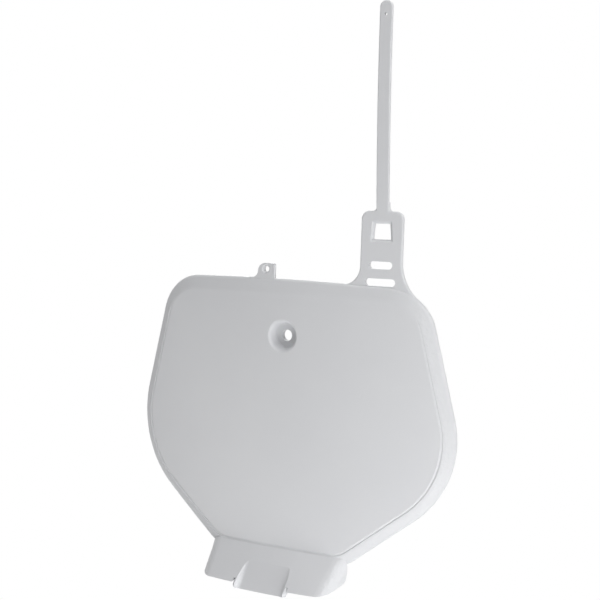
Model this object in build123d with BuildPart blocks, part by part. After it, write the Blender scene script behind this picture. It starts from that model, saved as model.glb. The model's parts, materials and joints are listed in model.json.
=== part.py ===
from build123d import *
from math import asin, atan2, cos, hypot, pi, radians, sin, sqrt, tan
import os

# Front number board for a motocross bike, injection moulded in one piece with its strap.
# Millimetres, seen from the front: X to the right, Z up, -Y towards the viewer.
# The board is drawn with its bowed face at Y = 0, and kept with the bolt's seat at the origin.

# Moulded skin, bowed about an upright axis behind the board
wall = 2.4
face_radius = 560

# Number field: its sharp corners as seen from the front, then their radii
field_top = 31.5
field_crown = 2.5
field_bottom = 150
top_corner = 95.5
wide_corner = 125
wide_corner_drop = 89
bottom_corner = 48
top_corner_radius = 26
wide_corner_radius = 62
bottom_corner_radius = 18

# V-shaped line pressed in around the field
groove_width = 2.4
groove_depth = 0.5

# Border and rolled-back flange around the field
border = 1.2
flange_width = 7
flange_drop = 3.6
rim_depth = 6
crease_radius = 8
rim_radius = 3

# Dimple for the bolt in the middle of the board
bolt_hole = 8
dimple_mouth = 21
dimple_floor = 17.5
dimple_depth = 7
dimple_lip_radius = 2.5
dimple_foot_radius = 1.5
boss_web = 4

# Lip that flares forward under the field, with tapered sides that are rounded at the heel.
# The taper and the heel's rise are in degrees.
lip_reach = 23.2
lip_drop = 22.3
lip_half_width = 53.9
lip_side_taper = 10
lip_bottom_radius = 9
lip_corner_radius = 10
lip_depth = 2.4
lip_heel_rise = 10
lip_heel_radius = 4
lip_neck_flare = 16

# Channel down the middle of the lip, ending in a tongue below it
channel_width = 38.6
channel_start = 9
channel_drop = 26.6
channel_reach = 21.5
channel_toe_radius = 2.5
channel_floor_radius = 3.5
tongue_corner_radius = 3

# Tab that stands on the top rim and carries the strap
strap_x = 69.4
tab_width = 29.5
tab_top = 89.5
tab_face = 3.9
tab_thickness = 3.6
tab_shoulder_radius = 5.5
tab_left_foot_radius = 13
tab_right_foot_radius = 33
tab_root = 5
tab_edge_radius = 1.2
window_top = 81
window_height = 10.5
window_top_width = 10.6
window_bottom_width = 12.4
window_chamfer = 1.8
slot_height = 5
upper_slot_z = 53
upper_slot_length = 16.4
lower_slot_z = 41.4
lower_slot_length = 21.4

# Strap above the tab: a flat strip that bows forward and straightens towards its tip
strap_tip = 228
strap_width = 8.8
strap_thickness = 3.2
strap_bow = 9
strap_root = 5
strap_neck_radius = 3
strap_tip_radius = 4.2
strap_edge_radius = 0.8
peg_hole = 2
peg_hole_below_tip = 9

# Cable lug on the top rim
lug_x = -16.5
lug_width = 13.2
lug_height = 10.4
lug_depth = 3
lug_hole = 4.2
lug_hole_height = 6.2
lug_countersink = 1.2
lug_round = 6
lug_foot_radius = 4.5
lug_corner_radius = 1.5

# Trimming bodies reach this far past what they trim
ample = 400

rim_offset = border + flange_width
rim_top = field_top + rim_offset
lip_top = -field_bottom - border
lip_bottom = lip_top - lip_drop
lip_slope = lip_reach / lip_drop
side_lean = tan(radians(lip_side_taper))
channel_bottom = lip_top - channel_drop
channel_slope = (channel_reach - lip_slope * channel_start) / (channel_drop - channel_start)


def bow(x):
    """Depth of the bowed face behind its middle."""
    return face_radius - sqrt(face_radius**2 - x**2)


def board_outline(grow):
    """Front outline of the board, grown outwards from the edge of the number field."""
    with BuildSketch(Plane.XZ) as outline:
        with BuildLine():
            top_end = (top_corner, field_top - field_crown)
            ThreePointArc((-top_corner, field_top - field_crown), (0, field_top), top_end)
            side = Polyline(
                top_end,
                (wide_corner, -wide_corner_drop),
                (bottom_corner, -field_bottom),
                (0, -field_bottom),
            )
            mirror(side, about=Plane.YZ)
        make_face()
        fillet(outline.vertices().group_by(Axis.Y)[-1], top_corner_radius)
        by_side = outline.vertices().group_by(Axis.X)
        fillet(by_side[0] + by_side[-1], wide_corner_radius)
        fillet(outline.vertices().group_by(Axis.Y)[0], bottom_corner_radius)
        if grow:
            offset(amount=grow)
    return outline.sketch


def curved_plate(outline, front, back):
    """Plate with a front outline, between two depths behind the bowed face."""
    with BuildPart() as plate:
        extrude(outline, amount=ample, both=True)
        with Locations((0, face_radius, 0)):
            Cylinder(face_radius - front, 2 * ample, mode=Mode.INTERSECT)
            Cylinder(face_radius - back, 2 * ample, mode=Mode.SUBTRACT)
    return plate.part


def bowed_faces(part):
    """The front and the back of a bowed plate."""
    return part.faces().sort_by(SortBy.AREA)[-2:].sort_by(Axis.Y)


def bevelled_plate(grow, front, back, width, drop):
    """Bowed plate whose front edge falls back by a drop over a width."""
    plate = curved_plate(board_outline(grow), front, back)
    with BuildPart() as body:
        add(plate)
        face = bowed_faces(body)[0]
        chamfer(face.edges(), length=width, length2=drop, reference=face)
    return body.part


# The dish: a bowed face whose edge rolls back as a flange, and its hollow one wall behind
flange_slope = flange_drop / flange_width
inner_shift = wall * (hypot(1, flange_slope) - 1) / flange_slope
inner_width = flange_width - wall + inner_shift
inner_drop = inner_width * flange_slope
dish_skin = bevelled_plate(rim_offset, 0, rim_depth, flange_width, flange_drop)
dish_hollow = bevelled_plate(
    rim_offset - wall, wall, rim_depth + tab_thickness, inner_width, inner_drop
)
with BuildPart() as dish:
    add(dish_skin)
    rim_radius_at = face_radius - flange_drop
    rim_slack = min(flange_drop, rim_depth - flange_drop) / 4
    rim_edges = dish.edges().filter_by(
        lambda e: abs((e @ 0.5 - Vector(0, face_radius, (e @ 0.5).Z)).length - rim_radius_at) < rim_slack
    )
    fillet(rim_edges, rim_radius)
    fillet(bowed_faces(dish)[0].edges(), crease_radius)

# The line around the field: an outer slope cut away, with the field's own slope left standing
groove_slope = 2 * groove_depth / groove_width
groove_room = curved_plate(board_outline(groove_width / 2), -wall / 2, 2 * groove_depth)
block_drop = 2 * groove_depth + wall
field_block = bevelled_plate(groove_width / 2, -wall, 3 * wall, block_drop / groove_slope, block_drop)
with BuildPart() as groove:
    add(groove_room)
    floor = bowed_faces(groove)[1]
    chamfer(floor.edges(), length=groove_width, length2=2 * groove_depth, reference=floor)
    add(field_block, mode=Mode.SUBTRACT)


def flared_cone(start, slope, inset):
    """Cone about the bow axis that leaves the lip's front at a drop below its top."""
    above = start + 3 * wall
    below = 2 * channel_drop
    middle = face_radius + lip_slope * start - inset * hypot(1, slope)
    with BuildPart() as cone:
        with Locations((0, face_radius, lip_top - start - below)):
            Cone(
                middle + slope * below,
                middle - slope * above,
                below + above,
                align=(Align.CENTER, Align.CENTER, Align.MIN),
            )
    return cone.part


def channel_room(inset):
    """Room in front of the channel's floor."""
    floor = flared_cone(channel_start, channel_slope, inset)
    with BuildPart() as room:
        with BuildSketch(Plane.XY.offset(channel_bottom - 2 * wall)):
            with Locations((0, -ample / 2)):
                Rectangle(channel_width + 2 * inset, ample)
        extrude(amount=channel_drop - channel_start + 2 * wall)
        add(floor, mode=Mode.SUBTRACT)
        upright = room.edges().filter_by(lambda e: abs(e.tangent_at(0.5).Z) > 0.3)
        fillet(upright.sort_by(Axis.Y)[-2:], channel_floor_radius + inset)
    return room.part


def lip_sides(inset):
    """Front outline of the lip's sides, which curve outwards at the neck towards the rim."""
    half = lip_half_width - inset
    neck = lip_bottom + lip_bottom_radius
    head = lip_top + 2 * wall
    foot = lip_top - 2 * channel_drop
    toe = half - (neck - foot) * side_lean
    with BuildSketch(Plane.XZ) as sides:
        with BuildLine():
            Line((toe, foot), (half, neck))
            TangentArc((half, neck), (half + lip_neck_flare, head), tangent=(side_lean, 1))
            Polyline((toe, foot), (0, foot), (0, head), (half + lip_neck_flare, head))
        make_face()
        mirror(about=Plane.YZ)
    return sides.sketch


def lip_profile(inset, middle_half, middle_bottom):
    """Front outline of the lip's foot, with a middle part that runs on below it."""
    half = lip_half_width - inset
    foot = lip_bottom + inset
    bend = lip_bottom + lip_bottom_radius
    toe = half - (bend - foot) * side_lean
    brow = half + wall * side_lean
    with BuildSketch(Plane.XZ) as profile:
        with BuildLine():
            FilletPolyline(
                (-brow, bend + wall),
                (-toe, foot),
                (toe, foot),
                (brow, bend + wall),
                close=True,
                radius=(0, lip_bottom_radius - inset, lip_bottom_radius - inset, 0),
            )
        make_face()
        with Locations((0, bend)):
            Rectangle(ample, ample, align=(Align.CENTER, Align.MIN))
        with Locations((0, lip_top)):
            Rectangle(2 * middle_half, lip_top - middle_bottom, align=(Align.CENTER, Align.MAX))
    return profile.sketch


def lip_block(inset, back, profile):
    """The lip as a solid block: flared front, rounded front corners, open channel."""
    front = flared_cone(0, lip_slope, inset)
    room = channel_room(inset)
    with BuildPart() as block:
        extrude(lip_sides(inset), amount=ample, both=True)
        add(front, mode=Mode.INTERSECT)
        flared = block.faces().filter_by(GeomType.CONE).sort_by(Axis.Y)[0]
        side_edges = flared.edges().filter_by(lambda e: abs(e.tangent_at(0.5).Z) > 0.3)
        fillet(side_edges, lip_corner_radius - inset)
        with Locations((0, face_radius, 0)):
            Cylinder(face_radius - back, 2 * ample, mode=Mode.SUBTRACT)
        extrude(profile, amount=ample, both=True, mode=Mode.INTERSECT)
        add(room, mode=Mode.SUBTRACT)
    return block.part


# Beside the channel the lip ends higher than the tongue, and its sides rise towards the heel
tongue_half = channel_width / 2 + wall
heel_y = lip_depth + bow(lip_half_width)
with BuildPart() as flank_trim:
    with BuildSketch(Plane.XY.offset(lip_top)):
        with Locations((-tongue_half, 0)):
            Rectangle(ample, ample, align=(Align.MAX, Align.CENTER))
        with Locations((tongue_half, 0)):
            Rectangle(ample, ample, align=(Align.MIN, Align.CENTER))
    extrude(amount=-ample)
    with BuildSketch(Plane.YZ):
        rise = tan(radians(lip_heel_rise))
        near = -2 * lip_reach - lip_drop
        with BuildLine():
            FilletPolyline(
                (near, lip_bottom + (near + lip_reach) * rise),
                (heel_y, lip_bottom + (heel_y + lip_reach) * rise),
                (heel_y, lip_top + wall),
                (near, lip_top + wall),
                close=True,
                radius=(0, lip_heel_radius, 0, 0),
            )
        make_face()
    extrude(amount=ample, both=True, mode=Mode.SUBTRACT)

# The tongue: level at its foot, with its side corners and the channel's toe rounded off
with BuildPart() as tongue_room:
    with BuildSketch(Plane.YZ):
        with BuildLine():
            FilletPolyline(
                (0, lip_top),
                (-lip_slope * channel_drop, channel_bottom),
                (ample, channel_bottom),
                (ample, lip_top),
                close=True,
                radius=(0, channel_toe_radius, 0, 0),
            )
        make_face()
    extrude(amount=tongue_half, both=True)
    foot_edges = tongue_room.edges().filter_by(Axis.Y).group_by(Axis.Z)[0]
    fillet(foot_edges, tongue_corner_radius)
with BuildPart() as tongue_trim:
    with BuildSketch(Plane.XY.offset(lip_bottom + wall)):
        Rectangle(2 * tongue_half, ample)
    extrude(amount=-ample)
    add(tongue_room, mode=Mode.SUBTRACT)

lip_skin = lip_block(0, lip_depth, lip_profile(0, tongue_half, channel_bottom - wall))
mouth_half = lip_half_width - lip_bottom_radius
lip_hollow = lip_block(
    wall, rim_depth + lip_reach, lip_profile(wall, mouth_half, channel_bottom - 2 * wall)
)
with BuildPart() as lip:
    add(lip_skin)
    add(flank_trim, mode=Mode.SUBTRACT)
    add(tongue_trim, mode=Mode.SUBTRACT)


def bolt_boss():
    """Boss behind the dimple."""
    foot = dimple_depth + boss_web
    with BuildPart() as boss:
        with BuildSketch(Plane.XZ.offset(-foot)):
            Circle(dimple_floor / 2 + wall)
        extrude(amount=foot - wall / 2)
    return boss.part


def bolt_room():
    """Dimple with a rounded mouth, and the bolt hole through its floor."""
    mouth = -0.05
    deep = dimple_depth + 2 * boss_web
    with BuildPart() as room:
        with BuildSketch(Plane.XY):
            with BuildLine():
                FilletPolyline(
                    (bolt_hole / 2, dimple_depth),
                    (dimple_floor / 2, dimple_depth),
                    (dimple_mouth / 2, mouth),
                    (dimple_mouth, mouth),
                    radius=(dimple_foot_radius, dimple_lip_radius),
                )
                Polyline(
                    (dimple_mouth, mouth),
                    (dimple_mouth, -wall),
                    (0, -wall),
                    (0, deep),
                    (bolt_hole / 2, deep),
                    (bolt_hole / 2, dimple_depth),
                )
            make_face()
        revolve(axis=Axis.Y)
    return room.part


def tangent_plane(x, depth):
    """Upright plane that touches the bow at x, at a depth behind the face."""
    radius = face_radius - depth
    turn = asin(x / radius)
    return Plane(
        origin=(x, face_radius - radius * cos(turn), 0),
        x_dir=(cos(turn), sin(turn), 0),
        z_dir=(sin(turn), -cos(turn), 0),
    )


# The tab: a flat plate whose feet run into the rim, with a neck for the strap
tab_plane = tangent_plane(strap_x, tab_face)
side_turn = atan2(wide_corner_drop + field_top - field_crown, wide_corner - top_corner)
corner_x = top_corner - top_corner_radius * tan(side_turn / 2)
corner_z = field_top - field_crown - top_corner_radius
rim_round = top_corner_radius + rim_offset
touch_x = corner_x + rim_round * cos(pi / 4) - strap_x
touch_z = corner_z + rim_round * sin(pi / 4)
with BuildPart() as tab:
    with BuildSketch(tab_plane):
        side = tab_width / 2
        neck = strap_width / 2
        foot = side + tab_left_foot_radius + wall
        seat = rim_top - field_crown / 2
        with BuildLine():
            FilletPolyline(
                (-foot, seat),
                (-side, seat),
                (-side, tab_top),
                (-neck, tab_top),
                (-neck, tab_top + 2 * strap_neck_radius),
                (neck, tab_top + 2 * strap_neck_radius),
                (neck, tab_top),
                (side, tab_top),
                (side, touch_z + touch_x - side),
                (touch_x, touch_z),
                (touch_x - tab_root, touch_z - tab_root),
                (corner_x - strap_x, seat - tab_root),
                (-foot, seat - tab_root),
                close=True,
                radius=(
                    0,
                    tab_left_foot_radius,
                    tab_shoulder_radius,
                    strap_neck_radius,
                    0,
                    0,
                    strap_neck_radius,
                    tab_shoulder_radius,
                    tab_right_foot_radius,
                    0,
                    0,
                    0,
                    0,
                ),
            )
        make_face()
    extrude(amount=-tab_thickness)
    front = tab.faces().filter_by(tab_plane).sort_by(Axis.Y)[0]
    front_edges = front.edges().filter_by(lambda e: seat < e.center().Z < tab_top + strap_neck_radius)
    fillet(front_edges, tab_edge_radius)
    # Window near the top of the tab, wider at its foot, with a bevelled rim
    with BuildSketch(tab_plane):
        with BuildLine():
            Polyline(
                (-window_top_width / 2, window_top),
                (window_top_width / 2, window_top),
                (window_bottom_width / 2, window_top - window_height),
                (-window_bottom_width / 2, window_top - window_height),
                close=True,
            )
        make_face()
    extrude(amount=-tab_thickness, mode=Mode.SUBTRACT)
    front = tab.faces().filter_by(tab_plane).sort_by(Axis.Y)[0]
    chamfer(front.inner_wires()[0].edges(), window_chamfer)

# Slots below the window, which the strap threads through
with BuildPart() as slots:
    with BuildSketch(tab_plane):
        with Locations((0, upper_slot_z)):
            SlotOverall(upper_slot_length, slot_height)
        with Locations((0, lower_slot_z)):
            SlotOverall(lower_slot_length, slot_height)
    extrude(amount=rim_depth + wall, both=True)

# The strap, drawn from the side
strap_plane = Plane(origin=tab_plane.origin, x_dir=-tab_plane.z_dir, z_dir=tab_plane.x_dir)
with BuildPart() as strap:
    with BuildSketch(strap_plane):
        near = (tab_thickness - strap_thickness) / 2
        far = near + strap_thickness
        strap_foot = tab_top - strap_root
        with BuildLine():
            TangentArc((near - strap_bow, strap_tip), (near, strap_foot), tangent=(0, -1))
            TangentArc((far - strap_bow, strap_tip), (far, strap_foot), tangent=(0, -1))
            Line((near - strap_bow, strap_tip), (far - strap_bow, strap_tip))
            Line((near, strap_foot), (far, strap_foot))
        make_face()
    extrude(amount=strap_width / 2, both=True)
    across = Axis(tab_plane.origin, tab_plane.z_dir)
    fillet(strap.edges().filter_by(across).group_by(Axis.Z)[-1], strap_tip_radius)
    bent = strap.faces().filter_by(GeomType.CYLINDER).sort_by(SortBy.AREA)[-2:]
    long_edges = bent.edges().filter_by(lambda e: e.center().Z > tab_top)
    fillet(long_edges, strap_edge_radius)
    with BuildSketch(tab_plane):
        with Locations((0, strap_tip - peg_hole_below_tip)):
            Circle(peg_hole / 2)
    extrude(amount=ample, both=True, mode=Mode.SUBTRACT)

# Cable lug, with a rounded shoulder on its left and a countersunk hole
with BuildPart() as lug:
    with BuildSketch(tangent_plane(lug_x, rim_depth - lug_depth)):
        half = lug_width / 2
        with BuildLine():
            FilletPolyline(
                (-half - lug_foot_radius - wall, rim_top),
                (-half, rim_top),
                (-half, rim_top + lug_height),
                (half, rim_top + lug_height),
                (half, rim_top - tab_root),
                (-half - lug_foot_radius - wall, rim_top - tab_root),
                close=True,
                radius=(0, lug_foot_radius, lug_round, lug_corner_radius, 0, 0),
            )
        make_face()
        with Locations((0, rim_top + lug_hole_height)):
            Circle(lug_hole / 2, mode=Mode.SUBTRACT)
    extrude(amount=-lug_depth)
    mouth = lug.edges().filter_by(GeomType.CIRCLE).sort_by(Axis.Y)
    mouth = mouth.filter_by(lambda e: abs(e.radius - lug_hole / 2) < 0.01 and e.is_closed)
    chamfer(mouth[0], lug_countersink)

boss = bolt_boss()
dimple = bolt_room()

# One moulding
with BuildPart() as moulding:
    add(dish)
    add(groove, mode=Mode.SUBTRACT)
    add(tab)
    add(lug)
    add(dish_hollow, mode=Mode.SUBTRACT)
    add(lip)
    add(lip_hollow, mode=Mode.SUBTRACT)
    add(boss)
    add(dimple, mode=Mode.SUBTRACT)
    add(strap)
    add(slots, mode=Mode.SUBTRACT)

# Kept in the frame of the bolt's seat, the floor of the dimple
with BuildPart() as number_board:
    with Locations((0, -dimple_depth, 0)):
        add(moulding)

number_board.part.label = "number_board"
os.makedirs("parts", exist_ok=True)
export_step(number_board.part, "parts/number_board.step")
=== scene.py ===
# %% [markdown]
# # A moulded number board
# The object is the white board that carries a racing number on the front of a motocross bike.
# It is one injection moulding: a bowed panel, a flange, a lip below and a strap above, in one plastic.
# Its solid comes ready made from the CAD frame, so this lesson is about the finish, the camera and
# the light. Everything is in metres, with +X to the viewer's right, -Y out of the front and +Z up.

import json
from math import cos, radians, sin

import bmesh
import bpy
from mathutils import Matrix, Vector

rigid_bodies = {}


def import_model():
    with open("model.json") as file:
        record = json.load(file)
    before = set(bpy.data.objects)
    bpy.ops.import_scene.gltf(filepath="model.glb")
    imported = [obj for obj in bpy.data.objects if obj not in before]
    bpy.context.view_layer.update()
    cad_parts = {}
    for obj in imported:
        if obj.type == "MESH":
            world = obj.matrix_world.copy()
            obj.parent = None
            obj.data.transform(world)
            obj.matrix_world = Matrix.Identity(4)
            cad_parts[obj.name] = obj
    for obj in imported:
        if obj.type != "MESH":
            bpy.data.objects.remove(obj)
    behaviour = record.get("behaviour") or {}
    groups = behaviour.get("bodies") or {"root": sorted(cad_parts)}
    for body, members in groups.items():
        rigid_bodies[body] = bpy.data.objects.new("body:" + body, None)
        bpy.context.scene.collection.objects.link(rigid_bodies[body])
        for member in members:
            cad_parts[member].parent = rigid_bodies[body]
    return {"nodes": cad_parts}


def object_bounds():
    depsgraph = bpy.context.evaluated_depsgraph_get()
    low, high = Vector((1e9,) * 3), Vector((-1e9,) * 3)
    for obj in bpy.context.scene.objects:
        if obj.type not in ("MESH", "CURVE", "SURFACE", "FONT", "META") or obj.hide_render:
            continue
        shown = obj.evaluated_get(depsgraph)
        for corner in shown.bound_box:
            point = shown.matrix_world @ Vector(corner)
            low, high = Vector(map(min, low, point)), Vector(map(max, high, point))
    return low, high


for leftover in list(bpy.data.objects):
    bpy.data.objects.remove(leftover)
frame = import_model()
cad_low, cad_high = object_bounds()
board = frame["nodes"]["number_board"]
MM = 0.001
print("board spans", [round((high - low) / MM, 1) for low, high in zip(cad_low, cad_high)], "mm")

# %% [markdown]
# ## One way to write a colour and one way to add a node
# Hex colours are sRGB, the numbers that a colour picker shows, while shaders work in linear light.
# One function does that change, so every colour below can be read straight off a colour chart.
# Nodes are added by one function too: it makes the node, sets its fields, and fills or links its
# sockets. A socket goes by its name, with _ for a space, or by its place in the list, such as _0,
# because the sockets of some nodes share one name.

# %% Colour and node helpers
def linear(hex_colour):
    """An sRGB hex colour as the linear RGBA that a shader socket takes."""
    channels = [int(hex_colour[i:i + 2], 16) / 255 for i in (0, 2, 4)]
    return [c / 12.92 if c <= 0.04045 else ((c + 0.055) / 1.055) ** 2.4 for c in channels] + [1]


def add_node(tree, kind, settings=None, **sockets):
    """A node with its settings; each socket takes a value, or a link where the value is an output."""
    node = tree.nodes.new(kind)
    for field, value in (settings or {}).items():
        setattr(node, field, value)
    for name, value in sockets.items():
        socket = node.inputs[int(name[1:]) if name[1:].isdigit() else name.replace("_", " ")]
        if isinstance(value, bpy.types.NodeSocket):
            tree.links.new(value, socket)
        else:
            socket.default_value = value
    return node


def new_material(name):
    """A material with no nodes yet, and its tree."""
    material = bpy.data.materials.new(name)
    material.use_nodes = True
    material.node_tree.nodes.clear()
    return material, material.node_tree


print("the grey 808080 in linear light:", round(linear("808080")[0], 3))

# %% [markdown]
# ## The plastic
# The board is white polypropylene, moulded against polished steel.
# That gives a pale, faintly cool body, a satin gloss, and a surface that is never perfectly flat:
# the melt shrinks as it cools, so reflections waver a little over a few centimetres.
# A flat white with one roughness would look like paint on card.
# Instead several patterns in real sizes are laid over each other: clouding from the flow of the melt,
# uneven gloss from handling, and a bump made of slow waves, a fine grain, and a ripple on the edges
# that turn to the right, which glitter in the photograph.
# Each pattern is noise, and the scale of noise is one over the width of its blotches.

# %% Patterns in the moulded surface
plastic, tree = new_material("moulded_white_polypropylene")
place = add_node(tree, "ShaderNodeTexCoord").outputs["Object"]

# Width of the blotches in millimetres, and how often finer noise is added to them.
# The grain is drawn at 1.2 mm, coarser than the real one, so that it can show.
pattern_sizes = {
    "clouding": (70, 3),
    "gloss": (14, 4),
    "waves": (26, 1),
    "grain": (1.2, 2),
    "ripple": (3, 2),
}
patterns = {}
for name, (width, detail) in pattern_sizes.items():
    noise = add_node(tree, "ShaderNodeTexNoise", Vector=place, Scale=1 / (width * MM), Detail=detail)
    patterns[name] = noise.outputs["Fac"]
    print(name, "has blotches of about", width, "mm")

# %% Colour and gloss of the polypropylene
# Flow clouding: two whites that a chart would hardly tell apart, in drifts as wide as a hand.
# Sockets 6 and 7 of this node are the two colours, and its output 2 is their mix.
clouding = add_node(
    tree,
    "ShaderNodeMix",
    {"data_type": "RGBA"},
    Factor=patterns["clouding"],
    _6=linear("DDDEE1"),
    _7=linear("E3E4E6"),
).outputs[2]

# Gloss: satin, a little duller in patches about a fingertip wide.
# Noise keeps mostly to the middle of its range, so that part is spread over the two roughnesses.
noise_low, noise_high = 0.3, 0.7
satin, duller = 0.28, 0.36
gloss = add_node(
    tree,
    "ShaderNodeMapRange",
    Value=patterns["gloss"],
    From_Min=noise_low,
    From_Max=noise_high,
    To_Min=satin,
    To_Max=duller,
).outputs["Result"]
print("roughness runs from", satin, "to", duller)

# %% [markdown]
# ## Where the ripple goes
# The ripple belongs to the flange and to the sides of the lip, where they turn to the right.
# A mask could be painted by hand, but a face's normal already says which way it turns: the normal's Y
# is -1 on the front, 0 on a side and 1 on the back, and its X is 1 on a face that looks straight right.
# Each limit below turns one such value into a share from 0 to 1, and the shares are multiplied.

# %% Mask of the ripple
normal = add_node(tree, "ShaderNodeNewGeometry").outputs["Normal"]
facing = add_node(tree, "ShaderNodeSeparateXYZ", Vector=normal).outputs
from_bolt = add_node(tree, "ShaderNodeVectorMath", {"operation": "LENGTH"}, _0=place).outputs["Value"]

# What is measured, where the ripple ends, and from where it is full
ripple_limits = {
    "off the front": (facing["Y"], -0.95, -0.88),
    "off the back": (facing["Y"], 0.05, -0.02),
    "on the right": (facing["X"], 0.15, 0.35),
    "off the dimple": (from_bolt, 20 * MM, 30 * MM),
}
edges = 1
for measured, none_at, full_at in ripple_limits.values():
    share = add_node(tree, "ShaderNodeMapRange", Value=measured, From_Min=none_at, From_Max=full_at)
    product = add_node(
        tree, "ShaderNodeMath", {"operation": "MULTIPLY"}, _0=edges, _1=share.outputs["Result"]
    )
    edges = product.outputs["Value"]
print("the ripple lies", ", ".join(ripple_limits))

# %% Bump and body of the polypropylene
# Height in millimetres and strength of each bump, which starts from the normal that the last one bent
bumps = {"waves": (0.12, 1), "grain": (0.006, 1), "ripple": (0.5, edges)}
bent = {}
for name, (height, strength) in bumps.items():
    bump = add_node(
        tree,
        "ShaderNodeBump",
        Height=patterns[name],
        Strength=strength,
        Distance=height * MM,
        **bent,
    )
    bent = {"Normal": bump.outputs["Normal"]}

body = add_node(
    tree,
    "ShaderNodeBsdfPrincipled",
    Base_Color=clouding,
    Roughness=gloss,
    IOR=1.49,
    **bent,
)
add_node(tree, "ShaderNodeOutputMaterial", Surface=body.outputs["BSDF"])
board.data.materials.clear()
board.data.materials.append(plastic)
print("board wears", plastic.name, "with", len(tree.nodes), "nodes")

# %% [markdown]
# ## The camera
# The photograph was taken from the board's right, a little above its middle, with a long lens.
# Lining up the rim, the holes and the strap gives the angles, the distance and the lens below.
# The distance is measured to the front of the face, in the middle of the dimple's mouth, 7 mm
# in front of the bolt's seat, and that point lies on a known pixel of the picture.
# A camera can be placed by a Track To constraint, but the photograph is also rolled slightly,
# so the three axes are worked out one by one and written into the camera's matrix.

# %% Camera at the photograph's angle
def direction(azimuth, height):
    """The way from the board to a bearing, from the front round to the right, and a height in degrees."""
    a, h = radians(azimuth), radians(height)
    return Vector((sin(a) * cos(h), -cos(a) * cos(h), sin(h)))


view_azimuth = 28
view_height = 4.88
view_roll = 1.85
view_distance = 888 * MM
photo_width = 600
focal_pixels = 1272
dimple_mouth = Vector((0, -7 * MM, 0))
dimple_pixel = (282.2, 336.0)

towards = direction(view_azimuth, view_height)
level = direction(view_azimuth + 90, 0)
upright = towards.cross(level)
roll = radians(view_roll)
across = cos(roll) * level + sin(roll) * upright
above = cos(roll) * upright - sin(roll) * level
pixel_size = view_distance / focal_pixels
aside = (photo_width / 2 - dimple_pixel[0]) * pixel_size
over = (dimple_pixel[1] - photo_width / 2) * pixel_size

lens = bpy.data.cameras.new("long_lens")
lens.sensor_width = 36
lens.lens = lens.sensor_width * focal_pixels / photo_width
camera = bpy.data.objects.new("camera", lens)
turn = Matrix((across, above, towards)).transposed().to_4x4()
stand = dimple_mouth + aside * across + over * above + view_distance * towards
camera.matrix_world = Matrix.Translation(stand) @ turn
bpy.context.collection.objects.link(camera)
bpy.context.scene.camera = camera
print("camera at", [round(c / MM) for c in stand], "mm with a", round(lens.lens, 1), "mm lens")

# %% [markdown]
# ## The studio
# The photograph has no floor to be seen, only white all round.
# A floor well below the board leaves room for low lamps and still throws light up, as white paper does.
# To the camera it is mostly plain white: a Light Path node tells camera and mirror rays, which see
# the white, from the rays that carry light, which see paper. Near the board half of what shows is the
# paper's own shading, so the shadow stays, and further off it melts into the white around it.

# %% Floor of white paper
floor_gap = 800 * MM
floor_reach = 40

shape = bmesh.new()
bmesh.ops.create_grid(shape, x_segments=1, y_segments=1, size=floor_reach)
bmesh.ops.translate(shape, verts=shape.verts, vec=(0, 0, cad_low.z - floor_gap))
paper_mesh = bpy.data.meshes.new("paper_floor")
shape.to_mesh(paper_mesh)
shape.free()
paper_floor = bpy.data.objects.new("paper_floor", paper_mesh)
bpy.context.collection.objects.link(paper_floor)
print("floor lies", round(floor_gap / MM), "mm below the board")

# %% Paper that melts into white
def seen_directly(tree):
    """1 for the rays that show the background: camera, mirror and see-through rays."""
    path = add_node(tree, "ShaderNodeLightPath").outputs
    seen = path["Is Camera Ray"]
    for other in ("Is Glossy Ray", "Is Transmission Ray"):
        either = add_node(tree, "ShaderNodeMath", {"operation": "MAXIMUM"}, _0=seen, _1=path[other])
        seen = either.outputs["Value"]
    return seen


# How white the paper shows under the board, the distances from the bolt in metres at which it
# starts to turn whiter and is all white, and the strength of light that renders as white
white_share = 0.5
whiter_from, white_from = 1, 2.4
white_strength = 1

paper, tree = new_material("white_paper")
spot = add_node(tree, "ShaderNodeTexCoord").outputs["Object"]
away = add_node(tree, "ShaderNodeVectorMath", {"operation": "LENGTH"}, _0=spot).outputs["Value"]
whiteness = add_node(
    tree,
    "ShaderNodeMapRange",
    Value=away,
    From_Min=whiter_from,
    From_Max=white_from,
    To_Min=white_share,
    To_Max=1,
).outputs["Result"]
shown = add_node(tree, "ShaderNodeMath", {"operation": "MULTIPLY"}, _0=seen_directly(tree), _1=whiteness)
matt = add_node(tree, "ShaderNodeBsdfDiffuse", Color=linear("F2F2F2"))
white = add_node(tree, "ShaderNodeEmission", Color=linear("FFFFFF"), Strength=white_strength)
mixed = add_node(
    tree,
    "ShaderNodeMixShader",
    _0=shown.outputs["Value"],
    _1=matt.outputs["BSDF"],
    _2=white.outputs["Emission"],
)
add_node(tree, "ShaderNodeOutputMaterial", Surface=mixed.outputs["Shader"])
paper_mesh.materials.append(paper)
print("floor wears", paper.name, "and is all white from", white_from, "m")

# %% [markdown]
# ## The light
# In the photograph the right flange and the right side of the lip are the brightest, the field fades
# from its lower right to its left, and the floor of the dimple lies in shade. Light that grazes the face
# does that, so nothing strong shines from the camera: a weak softbox stands on the right, slightly
# behind the board, a stronger one hangs high on the right, and one hangs overhead. A panel that leans
# on the left fills the shade and leaves a soft, pale reflection on the field. A lamp behind the board
# only keeps its back from going dark. Two fills lift the lower right and the underside. They are hidden
# from glossy rays, because seen from the left or from behind their reflections burn out to white.
# Softboxes are area lamps: the larger they are, the softer the change from light to shade.
# Each was first rendered alone, because light adds up: the strengths could then be worked out
# together from the brightness of a few places, instead of being turned up and down in turn.

# %% Softboxes
board_middle = Vector((0, 0, -40 * MM))
large_box = (0.8, 0.8)


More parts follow.
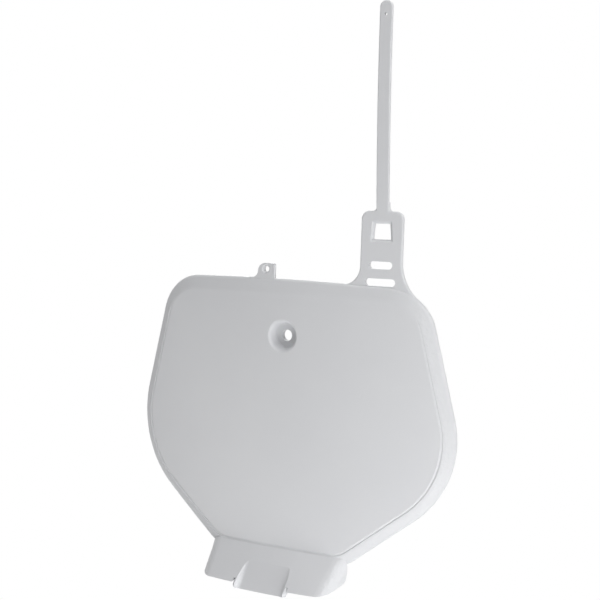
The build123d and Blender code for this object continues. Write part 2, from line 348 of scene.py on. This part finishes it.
def softbox(name, azimuth, height, distance, size, watts, lean=0):
    """A rectangular lamp that faces the middle of the board, with its angles in degrees."""
    lamp = bpy.data.lights.new(name, "AREA")
    lamp.shape = "RECTANGLE"
    lamp.size, lamp.size_y = size
    lamp.energy = watts
    outwards = direction(azimuth, height)
    aim = outwards.to_track_quat("Z", "Y").to_matrix().to_4x4()
    tilt = Matrix.Rotation(radians(lean), 4, "Z")
    holder = bpy.data.objects.new(name, lamp)
    holder.matrix_world = Matrix.Translation(board_middle + outwards * distance) @ aim @ tilt
    bpy.context.collection.objects.link(holder)
    return holder


softbox("right_softbox", azimuth=100, height=15, distance=1.2, size=large_box, watts=2.2)
softbox("high_right_softbox", azimuth=65, height=40, distance=1.2, size=large_box, watts=5.2)
softbox("top_softbox", azimuth=-40, height=80, distance=1.2, size=large_box, watts=4.6)
softbox("leaning_panel", azimuth=-46, height=-18, distance=1.3, size=(0.5, 1.1), watts=2.6, lean=50)
softbox("back_softbox", azimuth=-150, height=20, distance=1.4, size=large_box, watts=4.0)
fills = (
    softbox("low_right_softbox", azimuth=52, height=-38, distance=0.65, size=(0.4, 0.4), watts=2.4),
    softbox("under_softbox", azimuth=0, height=-75, distance=0.75, size=(1.0, 1.0), watts=0.8),
)
for fill in fills:
    fill.visible_glossy = False
print("lamps:", [lamp.name for lamp in bpy.data.lights])

# %% [markdown]
# ## The white around the board
# The world outside the floor gives two answers too. Rays that show the background see plain white, which
# is a strength of 1, and rays that carry light find only a faint glow, so the softboxes do the lighting.
# The Standard view transform then shows each colour about as it is written.

# %% White surround
glow_strength = 0.15

surround = bpy.data.worlds.new("white_surround")
bpy.context.scene.world = surround
surround.use_nodes = True
tree = surround.node_tree
tree.nodes.clear()
glow = add_node(tree, "ShaderNodeBackground", Color=linear("FFFFFF"), Strength=glow_strength)
plain = add_node(tree, "ShaderNodeBackground", Color=linear("FFFFFF"), Strength=white_strength)
mixed = add_node(
    tree,
    "ShaderNodeMixShader",
    _0=seen_directly(tree),
    _1=glow.outputs["Background"],
    _2=plain.outputs["Background"],
)
add_node(tree, "ShaderNodeOutputWorld", Surface=mixed.outputs["Shader"])
bpy.context.scene.view_settings.view_transform = "Standard"
print("world", surround.name, "glows at", glow_strength, "and shows white at", white_strength)
